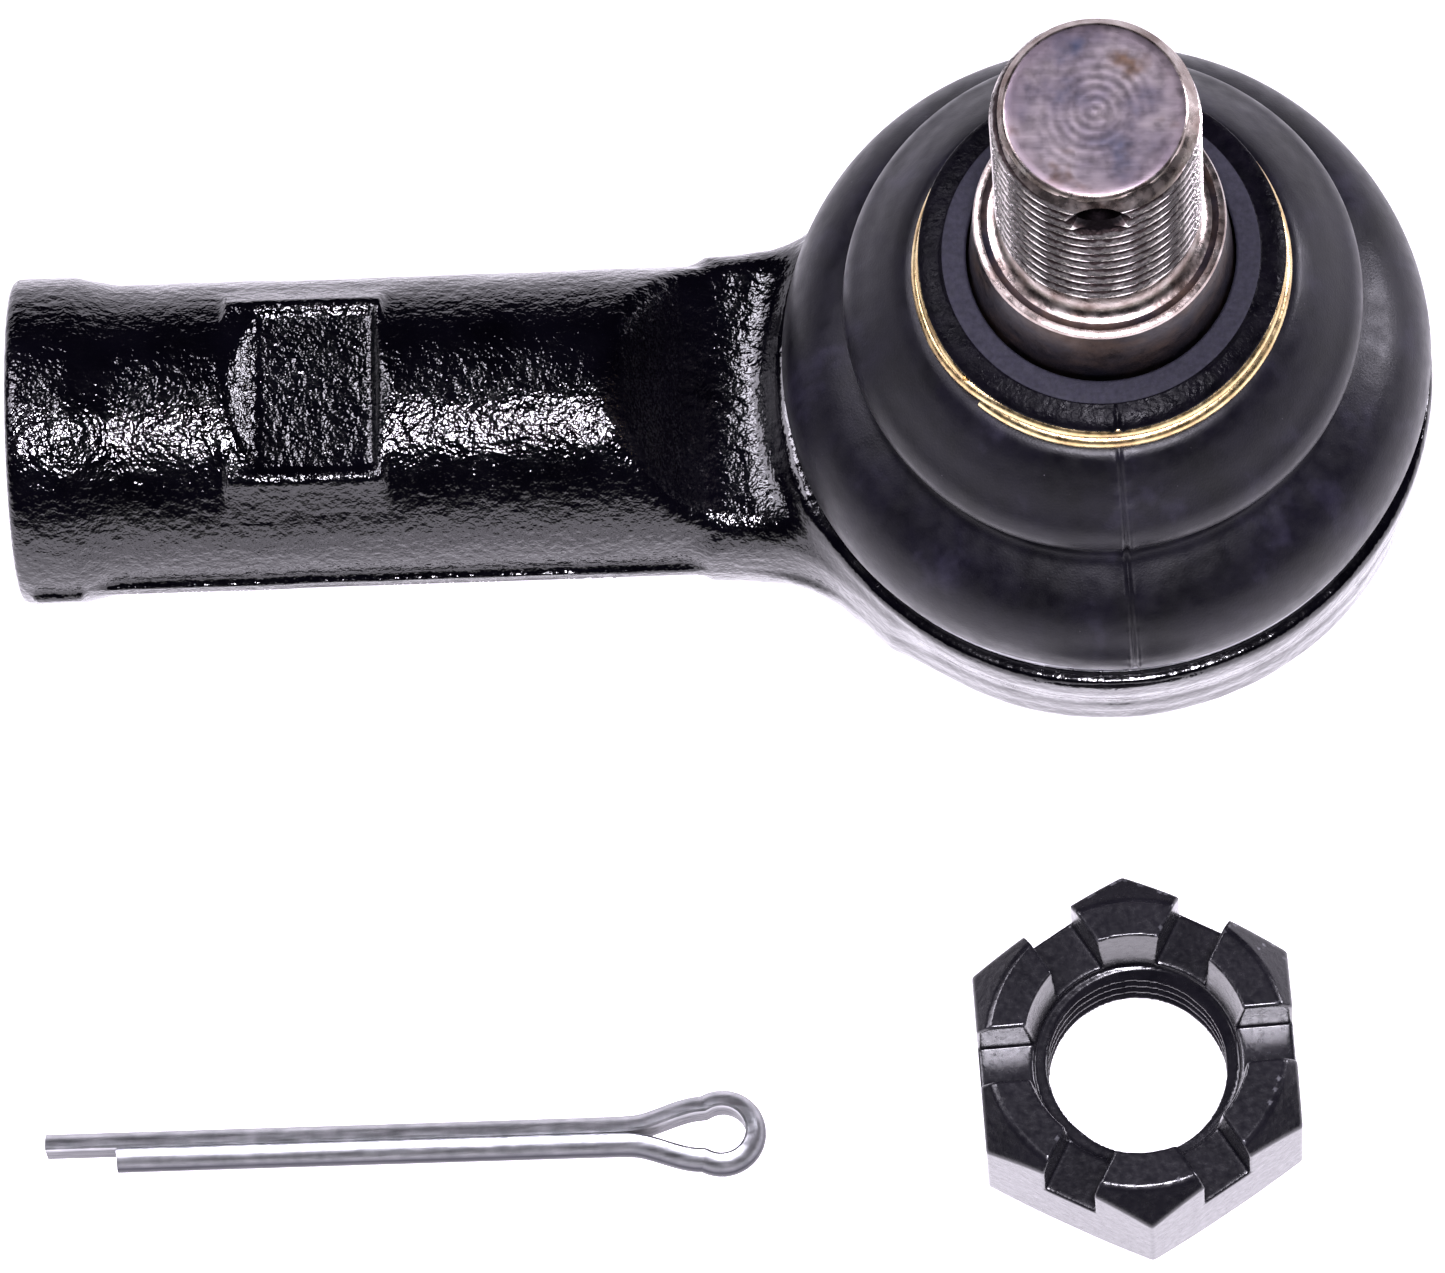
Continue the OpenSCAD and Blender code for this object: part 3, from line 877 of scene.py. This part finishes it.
def build_boot(materials):
    """Lower and upper bellows, each revolved from its own section."""
    c = BALL_Z
    low_r, up_r = 22.5, 17.8
    split = c + 18.8
    seam = math.radians(-86.5)
    angles = boot_angles(seam)

    lower = [
        (18.9, c + 7.15), (20.6, c + 7.15), (20.8, c + 8.9), (21.7, c + 9.0), (22.3, c + 9.7),
        (low_r, c + 10.8), (22.35, c + 12.4), (21.8, c + 14.0), (20.8, c + 15.5), (19.5, c + 16.7),
        (18.2, c + 17.5), (17.1, c + 18.1), (16.6, split), (15.75, split),
        (15.9, c + 17.8), (17.4, c + 16.8), (19.2, c + 15.2), (20.7, c + 13.2), (21.2, c + 11.4),
        (20.2, c + 10.4), (19.6, c + 8.65), (18.9, c + 8.65),
    ]
    upper = [
        (16.6, split), (16.75, c + 19.6), (17.3, c + 21.2), (17.65, c + 22.1), (up_r, c + 22.8),
        (17.72, c + 23.5), (17.3, c + 24.4), (16.5, c + 25.4), (15.4, c + 26.9), (14.2, c + 28.3),
        (13.4, c + 29.0), (12.9, c + 29.2), (11.6, c + 29.25), (11.4, c + 29.6), (11.4, c + 31.4),
        (11.7, c + 31.8), (12.4, c + 31.95), (12.5, c + 32.3), (12.0, c + 32.65), (10.85, c + 32.95),
        (10.7, c + 33.08), (9.25, c + 33.1),
        (9.12, c + 32.9), (9.5, c + 27.0), (10.6, c + 28), (12.9, c + 28), (15.3, c + 25.6),
        (16.7, c + 22.9), (15.9, c + 20.0), (15.75, split),
    ]

    def radius(r, z, a):
        seam_dist = np.abs(np.angle(np.exp(1j * (a - seam))))
        seam_dist = np.minimum(seam_dist, math.pi - seam_dist) * r
        rough = 0.6 + 0.4 * np.sin(z * 9.0) * np.sin(z * 3.7)
        groove = -0.16 * np.exp(-((seam_dist / 0.16) ** 2))
        ridge = 0.14 * np.exp(-(((seam_dist - 0.34) / 0.16) ** 2)) * rough
        sag = 0.05 * np.sin(3 * a + 0.4) + 0.04 * np.sin(5 * a + z * 0.3)
        outside = r > 10.9
        return r + np.where(outside, groove + ridge + sag, 0)

    longest = 0.4
    for name, points, bodies, start, end in (
        ("boot_lower_bellows", lower, ("housing", "boot"), c + 8.5, split - 0.2),
        ("boot_upper_bellows", upper, ("boot", "neck_ring"), split - 0.1, c + 26.0),
    ):
        section = subdivide(round_corners(points, 1.1), longest)
        piece = revolve(name, section, angles, radius, materials["boot_rubber"])
        recalculate_outside(piece)
        if name == "boot_upper_bellows":
            paint_neck(piece, materials)
        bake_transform(piece)
    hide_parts("dust_boot")


def paint_neck(piece, materials):
    """Matte lip and greased slope on the boot's neck."""
    piece.data.materials.append(materials["lip_rubber"])
    piece.data.materials.append(materials["greased_rubber"])
    for face in piece.data.polygons:
        height = face.center.z / MM - BALL_Z
        reach = math.hypot(face.center.x, face.center.y) / MM
        if height > 32.93 and reach < 10.8:
            face.material_index = 1
        elif height > 31.7 and 10.7 < reach < 12.6:
            face.material_index = 2


def recalculate_outside(piece):
    """Makes the faces of a closed solid look outwards."""
    bm = bmesh.new()
    bm.from_mesh(piece.data)
    bmesh.ops.recalc_face_normals(bm, faces=bm.faces)
    bm.to_mesh(piece.data)
    bm.free()


def sweep(name, path, frame_at, outline, material):
    """Sweeps a closed outline along a path; frame_at gives the two directions across it."""
    outline = np.array(outline, float)
    rings = []
    for k, point in enumerate(path):
        side, up = frame_at(k)
        rings.append([np.array(point) + side * u + up * v for u, v in outline])
    m, n = len(path), len(outline)
    vertices = np.array(rings).reshape(-1, 3)
    faces = tube_faces(m, n)
    faces += [tuple(range(n))[::-1], tuple((m - 1) * n + j for j in range(n))]
    piece = make_piece(name, vertices, faces, material)
    recalculate_outside(piece)
    return piece


def circle_outline(radius, count):
    """Points of a round wire's section."""
    return [(radius * math.cos(a), radius * math.sin(a)) for a in even_angles(count)]


def build_neck_ring(materials):
    """Two turns of wire, the second climbing inside the first from where its end is cut."""
    c = BALL_Z
    wire = 0.57
    cut = math.radians(-135)
    count = 360
    path = []
    for k in range(count + 1):
        share = k / count
        angle = cut + math.radians(3) + share * (4 * math.pi - math.radians(8))
        climb = np.clip((share - 0.47) / 0.06, 0, 1)
        climb = climb * climb * (3 - 2 * climb)
        radius = 12.36 - 0.32 * climb
        path.append((radius * math.cos(angle), radius * math.sin(angle), c + 29.95 + 1.14 * climb))
    path = np.array(path)

    def frame_at(k):
        a = math.atan2(path[k][1], path[k][0])
        return np.array((math.cos(a), math.sin(a), 0)), np.array((0, 0, 1.0))

    outline = circle_outline(wire, 16)
    piece = sweep("neck_ring_wire", path, frame_at, outline, materials["yellow_plated_wire"])
    sharp_by_angle(piece, 50)
    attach(piece, "neck_ring")
    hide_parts("boot_neck_ring")


# ---------------------------------------------------------------- nut and pin


def build_nut(materials):
    """Castle nut with chamfered towers, milled slots and a tapped bore."""
    centre = [mount("nut_thread")["pos_m"][k] / MM for k in (0, 1)]
    turn = math.radians(3)
    height = cad_box("castle_nut")[1][2]
    flat_r = 11.0
    corner_r = flat_r / math.cos(math.pi / 6)
    slot_w, slot_depth = 3.8, 5.0
    h = 0.15
    margin = 0.6
    reach = corner_r + margin
    grid = Lattice([-reach, -reach, -margin], [reach, reach, height + margin], h)
    x, y, z = grid.x, grid.y, grid.z
    r = np.sqrt(x * x + y * y) + 0 * z
    zz = z + 0 * r
    sides = [
        x * math.cos(a) + y * math.sin(a) - flat_r + 0 * z for a in np.radians([0, 60, 120, 180, 240, 300])
    ]
    hexagon = sides[0]
    for side in sides[1:]:
        hexagon = -smooth_union(-hexagon, -side, 0.12)
    turned = outline_distance(r, zz, [
        (0, 0.0), (11.1, 0.0), (12.9, 0.9), (13.4, 1.4), (13.4, height - 2.6), (12.8, height - 2.3),
        (10.5, height - 0.15), (10.2, height), (0, height),
    ])
    body = -smooth_union(-hexagon, -turned, 0.15)
    major_r = np.float32(THREAD_R + 0.05)
    thread = helix_radius(major_r, major_r - TAP_R, THREAD_PITCH, 0.3)
    angle = np.arctan2(y, x) + 0 * z
    wall = thread(zz, angle)
    hollow = (r - wall) * 0.75
    slot_floor = height - slot_depth
    counterbore = r - 7.2 - np.maximum(zz - slot_floor, 0) * 0.12
    counterbore = np.maximum(counterbore, slot_floor - 0.5 - zz)
    lead_in = (r - (7.3 - np.maximum(zz, 0) * 0.95)) * 0.7
    lead_in = np.maximum(lead_in, zz - 1.4)
    hollow = np.minimum(np.minimum(hollow, counterbore), lead_in)
    body = np.maximum(body, -hollow)
    for a in np.radians([0, 60, 120]):
        across = np.abs(-x * math.sin(a) + y * math.cos(a)) - slot_w / 2
        slot = np.maximum(across + 0 * z, slot_floor - zz)
        body = smooth_cut(body, slot, 0.12)
    vertices, faces = mesh_from_distance(grid, body)
    cos, sin = math.cos(turn), math.sin(turn)
    placed = vertices.copy()
    placed[:, 0] = vertices[:, 0] * cos - vertices[:, 1] * sin + centre[0]
    placed[:, 1] = vertices[:, 0] * sin + vertices[:, 1] * cos + centre[1]
    piece = make_piece("castle_nut_milled", placed, faces, materials["black_oxide"])
    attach(piece, "nut")
    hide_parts("castle_nut")


def build_pin(materials):
    """Half-round wire bent back on itself round an eye."""
    low, high = cad_box("cotter_pin")
    wire_r = (high[2] - low[2]) / 2
    eye_r, long_leg, short_leg = 2.95, 41.0, 36.0
    origin = np.array((low[0] + long_leg, (low[1] + high[1]) / 2, wire_r))
    eye_x = 6.4
    inner = eye_r - 1.25
    # middle of the flat inner face of the wire, from one tip round the eye to the other
    line = [(-long_leg, 0.03), (-1.2, 0.03), (0.0, 0.08)]
    swell = [
        (eye_x * 0.8 * s, 0.08 + (inner * 0.78 - 0.08) * (3 * s * s - 2 * s**3))
        for s in np.linspace(0.1, 1, 9)
    ]
    arc_start = math.radians(128)
    turns = np.linspace(arc_start, -arc_start, 29)
    arc = [(eye_x + inner * math.cos(a), inner * math.sin(a)) for a in turns]
    line += swell + arc + [(u, -v) for u, v in swell[::-1]]
    line += [(0.0, -0.08), (-1.2, -0.03), (-short_leg, -0.03)]
    line = smooth_line(np.array(line), 0.22)
    tangents = np.gradient(line, axis=0)
    tangents /= np.linalg.norm(tangents, axis=1, keepdims=True)

    path = [np.array((p[0], p[1], 0)) + origin for p in line]

    def frame_at(k):
        return np.array((-tangents[k][1], tangents[k][0], 0)), np.array((0, 0, 1.0))

    steps = 12
    half = [(wire_r * math.sin(a), wire_r * math.cos(a)) for a in np.linspace(0.12, math.pi - 0.12, steps)]
    outline = [(0.0, wire_r * 0.9)] + half + [(0.0, -wire_r * 0.9)]
    piece = sweep("cotter_pin_wire", path, frame_at, outline, materials["zinc_wire"])
    sharp_by_angle(piece, 40)
    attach(piece, "pin")
    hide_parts("cotter_pin")


def smooth_line(points, step):
    """The same line at even steps, its corners eased."""
    for _ in range(2):
        cut = [points[0]]
        for a, b in zip(points[:-1], points[1:]):
            cut += [a * 0.75 + b * 0.25, a * 0.25 + b * 0.75]
        cut.append(points[-1])
        points = np.array(cut)
    lengths = np.concatenate([[0], np.cumsum(np.linalg.norm(np.diff(points, axis=0), axis=1))])
    places = np.linspace(0, lengths[-1], int(lengths[-1] / step) + 1)
    return np.stack([np.interp(places, lengths, points[:, k]) for k in (0, 1)], axis=1)


# ---------------------------------------------------------------- studio


def build_camera(target):
    """Long lens, high above the front of the object and turned a little about its own axis."""
    elevation, azimuth, roll = math.radians(72.5), math.radians(6.35), math.radians(-7.94)
    distance, across, above = 0.9101, 0.02695, 0.01614
    turn = Matrix.Rotation(azimuth, 3, "Z")
    back = turn @ Vector((0, -math.cos(elevation), math.sin(elevation)))
    level = turn @ Vector((1, 0, 0))
    upright = back.cross(level)
    right = math.cos(roll) * level + math.sin(roll) * upright
    up = -math.sin(roll) * level + math.cos(roll) * upright
    camera = bpy.data.cameras.new("camera")
    camera.sensor_width = 36
    camera.lens = 323.9
    camera.clip_start = 0.05
    holder = bpy.data.objects.new("camera", camera)
    bpy.context.scene.collection.objects.link(holder)
    matrix = Matrix((right, up, back)).transposed().to_4x4()
    matrix.translation = target + back * distance - right * across - up * above
    holder.matrix_world = matrix
    bpy.context.scene.camera = holder


def build_floor():
    """Pale floor that glows under and in front of the object, so that hardly a shadow shows."""
    bpy.ops.mesh.primitive_plane_add(size=6)
    floor = bpy.context.object
    floor.name = "studio_floor"
    pale = Nodes("studio_floor", 0.7)
    pale.finish((0.47, 0.47, 0.47), Emission_Strength=1.5)
    near = pale.span(pale.radius((0, -300)), 0.27, 0.36, 1.0, 0.15)
    glow = pale.mix(near, (0, 0, 0), (1, 0.94, 1.06))
    pale.link(glow, pale.shader.inputs["Emission Color"])
    floor.data.materials.append(pale.material)


def softbox(target, name, direction, gap, size, power):
    """An area light at this distance from the target, facing it."""
    light = bpy.data.lights.new(name, "AREA")
    light.shape = "RECTANGLE"
    light.size, light.size_y = size
    light.energy = power
    light.color = (1.0, 0.955, 1.09)
    lamp = bpy.data.objects.new(name, light)
    bpy.context.scene.collection.objects.link(lamp)
    place = Vector(direction).normalized() * gap
    lamp.location = target + place
    lamp.rotation_euler = place.to_track_quat("Z", "Y").to_euler()


def build_world():
    """White horizon, lowest on the far side, under a nearly black ceiling."""
    world = bpy.data.worlds.new("world")
    bpy.context.scene.world = world
    world.use_nodes = True
    tree = world.node_tree
    shade = tree.nodes["Background"]
    coords = tree.nodes.new("ShaderNodeTexCoord")
    split = tree.nodes.new("ShaderNodeSeparateXYZ")
    ramp = tree.nodes.new("ShaderNodeValToRGB")
    tree.links.new(coords.outputs["Generated"], split.inputs[0])
    lean = tree.nodes.new("ShaderNodeMath")
    lean.operation = "MULTIPLY_ADD"
    lean.inputs[1].default_value = 0.12
    tree.links.new(split.outputs[1], lean.inputs[0])
    tree.links.new(split.outputs[2], lean.inputs[2])
    tree.links.new(lean.outputs[0], ramp.inputs["Fac"])
    tree.links.new(ramp.outputs["Color"], shade.inputs["Color"])
    horizon, wall = ramp.color_ramp.elements
    horizon.position = 0.0
    horizon.color = (1, 0.98, 1, 1)
    wall.position = 0.11
    wall.color = (0.016, 0.014, 0.020, 1)
    ceiling = ramp.color_ramp.elements.new(0.5)
    ceiling.color = (0.003, 0.0026, 0.0045, 1)
    shade.inputs["Strength"].default_value = 1.0


def build_studio():
    """Camera at the photograph's angle, pale floor, soft lights."""
    bpy.context.scene.view_settings.view_transform = "Standard"
    target = Vector((0, 0, BALL_Z * MM))
    build_camera(target)
    build_floor()
    softbox(target, "key", (0.03, -0.29, 1), 1.25, (0.20, 0.20), 26)
    softbox(target, "right_box", (0.88, 0.30, 0.38), 0.75, (0.20, 0.20), 4)
    softbox(target, "left_box", (-1, 0.28, 0.95), 0.9, (0.4, 0.3), 3)
    softbox(target, "top_box", (-0.45, 0.32, 0.86), 1.0, (0.24, 0.24), 4)
    build_world()


# ---------------------------------------------------------------- assembly

build_studio()
materials = {
    "black_paint": black_paint(),
    "boot_rubber": boot_rubber(),
    "greased_rubber": greased_rubber(),
    "lip_rubber": lip_rubber(),
    "yellow_plated_wire": plated_wire(),
    "stud_end": stud_end(),
    "stud_thread": stud_thread(),
    "polished_steel": polished_steel(),
    "dark_steel": dark_steel(),
    "ball_steel": ball_steel(),
    "black_oxide": black_oxide(),
    "zinc_wire": zinc_wire(),
    "seat_plastic": seat_plastic(),
    "spring_steel": plain_steel("spring_steel", (0.28, 0.28, 0.30), (0.42, 0.42, 0.44), 0.32),
    "thread_wall": plain_steel("thread_wall", (0.10, 0.09, 0.09), (0.26, 0.25, 0.25), 0.4),
    "cover_steel": painted_sheet(),
    "seal_rubber": seal_rubber(),
}
build_housing(materials)
build_shank_thread(materials)
build_stud(materials)
build_boot(materials)
build_neck_ring(materials)
build_nut(materials)
build_pin(materials)
for node, slot in (
    ("upper_bearing_seat", "seat_plastic"),
    ("lower_bearing_seat", "seat_plastic"),
    ("preload_spring", "spring_steel"),
    ("cover_seal", "seal_rubber"),
    ("end_cover", "cover_steel"),
    ("boot_base_ring", "spring_steel"),
):
    mesh = frame["nodes"][node].data
    mesh.materials.clear()
    mesh.materials.append(materials[slot])
